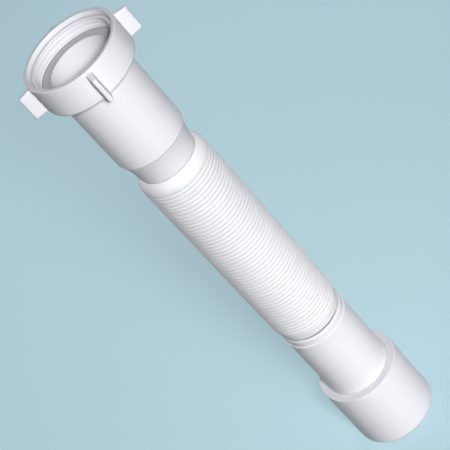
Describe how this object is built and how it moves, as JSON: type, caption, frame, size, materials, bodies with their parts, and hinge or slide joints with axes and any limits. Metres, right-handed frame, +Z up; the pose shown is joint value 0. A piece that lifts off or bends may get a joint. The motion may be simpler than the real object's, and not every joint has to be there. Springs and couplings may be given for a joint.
{
  "type": "flexible drain pipe",
  "caption": "White corrugated waste pipe with a winged union nut and seal at one end and a stepped plain spigot for push-fit sockets at the other.",
  "frame": {"origin": "centre of the outlet rim's foot, where the pipe stands", "axes": "+Z up the pipe towards the union nut; +X and +Y through the nut's wings"},
  "size_m": [0.068, 0.068, 0.3278],
  "materials": {
    "moulded_sleeve": "white polypropylene, satin",
    "corrugated_hose": "white flexible polypropylene, satin",
    "seal": "pale grey soft seal, matte",
    "moulded_nut": "white polypropylene, satin"
  },
  "bodies": {
    "outlet": {"outlet_sleeve": "moulded_sleeve"},
    "hose_middle": {"hose": "corrugated_hose"},
    "inlet": {"inlet_sleeve": "moulded_sleeve", "seal_ring": "seal"},
    "nut": {"union_nut": "moulded_nut"}
  },
  "joints": [
    {"name": "hose_bend", "type": "hinge", "parent": "outlet", "child": "hose_middle", "pos_m": [0.0209, 0, 0.14], "axis": [0, 1, 0], "range_deg": [0, 60], "deforming": ["hose"]},
    {"name": "hose_stretch", "type": "slide", "parent": "hose_middle", "child": "inlet", "axis": [0, 0, 1], "range_m": [0, 0.16], "deforming": ["hose"]},
    {"name": "nut_spin", "type": "hinge", "parent": "inlet", "child": "nut", "pos_m": [0, 0, 0.3183], "axis": [0, 0, 1], "continuous": true}
  ]
}
